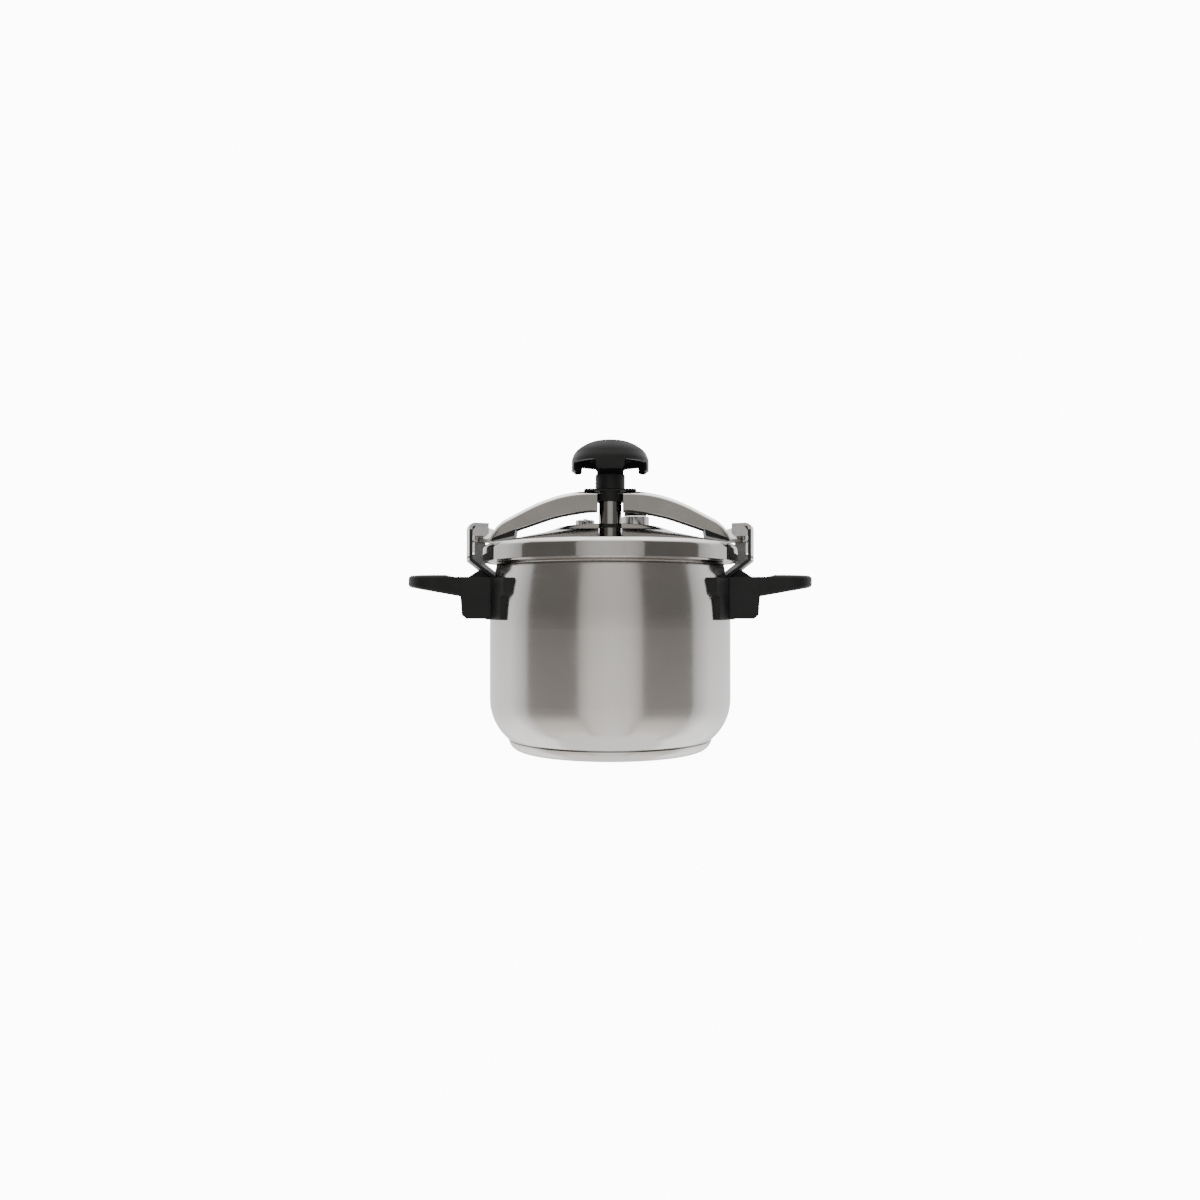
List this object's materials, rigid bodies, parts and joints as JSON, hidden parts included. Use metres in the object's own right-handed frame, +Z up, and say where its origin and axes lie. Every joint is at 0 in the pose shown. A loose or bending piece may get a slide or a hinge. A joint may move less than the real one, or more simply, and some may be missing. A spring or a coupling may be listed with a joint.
{
  "type": "stovetop pressure cooker",
  "caption": "Stovetop pressure cooker with a domed lid held by a swing yoke and a central screw-down knob, two valves on the lid and two black side handles",
  "frame": {"origin": "centre of the base's flat underside, on the surface it stands on", "axes": "+Z up, +X along the two side handles, -Y toward the viewer, with the two valves at +Y"},
  "size_m": [0.3654, 0.2354, 0.2849],
  "materials": {
    "pot_steel": "fine satin polish, round the axis",
    "heat_disc": "raw",
    "lid_steel": "mirror polish",
    "bracket_steel": "polished",
    "hardware_steel": "turned",
    "yoke_steel": "satin, bright at the bends",
    "chrome_post": "mirror polish",
    "handle_black": "moulded phenolic, fine grain",
    "knob_black": "moulded phenolic, fine grain",
    "bush_black": "smooth moulded",
    "silicone_seal": "grey silicone",
    "valve_steel": "turned and polished",
    "valve_brass": "turned",
    "valve_cap_black": "moulded, ribbed",
    "spring_steel": "drawn wire"
  },
  "bodies": {
    "cooker": {"pot_body": "pot_steel", "base_disc": "heat_disc", "base_cap": "pot_steel", "bracket_left": "bracket_steel", "bracket_right": "bracket_steel", "bearing_bar_left": "bracket_steel", "bearing_bar_right": "bracket_steel", "handle_bosses": "hardware_steel", "handle_left": "handle_black", "handle_right": "handle_black", "handle_screws": "hardware_steel", "handle_washers": "hardware_steel", "lid": "lid_steel", "lid_gasket": "silicone_seal", "post": "chrome_post", "post_nut": "hardware_steel", "post_seal": "silicone_seal", "regulator_seat": "valve_steel", "regulator_seal": "silicone_seal", "regulator_nut": "hardware_steel", "safety_body": "valve_steel", "safety_seal": "silicone_seal", "safety_nut": "hardware_steel"},
    "thrust_foot": {"thrust_foot": "hardware_steel"},
    "knob": {"spindle": "hardware_steel", "knob": "knob_black", "knob_screw": "hardware_steel", "knob_cap": "knob_black"},
    "yoke": {"yoke": "yoke_steel", "yoke_lugs": "yoke_steel", "yoke_nut": "hardware_steel", "yoke_ring": "bush_black", "yoke_plate": "bush_black", "yoke_collar": "bush_black", "shoe_left": "bush_black", "shoe_right": "bush_black"},
    "regulator": {"regulator_weight": "valve_brass", "regulator_cap": "valve_cap_black"},
    "safety_plunger": {"safety_plunger": "valve_brass", "safety_spring": "spring_steel"}
  },
  "joints": [
    {"name": "yoke_swing", "type": "hinge", "parent": "cooker", "child": "thrust_foot", "pos_m": [0, 0, 0.2088], "axis": [0, 0, 1], "range_deg": [-28, 28]},
    {"name": "knob_turn", "type": "hinge", "parent": "thrust_foot", "child": "knob", "pos_m": [0, 0, 0.213], "axis": [0, 0, 1], "range_deg": [0, 390]},
    {"name": "yoke_drop", "type": "slide", "parent": "thrust_foot", "child": "yoke", "axis": [0, 0, -1], "range_m": [0, 0.00217]},
    {"name": "regulator_lift", "type": "slide", "parent": "cooker", "child": "regulator", "axis": [0, 0, 1], "range_m": [0, 0.007]},
    {"name": "safety_lift", "type": "slide", "parent": "cooker", "child": "safety_plunger", "axis": [0, 0, 1], "range_m": [0, 0.0022], "stiffness_N_per_m": 600, "springref_m": -0.001, "deforming": ["safety_spring"]}
  ],
  "couplings": [
    {"joint": "yoke_drop", "follows": "knob_turn", "m_per_rad": 0.00031831}
  ]
}
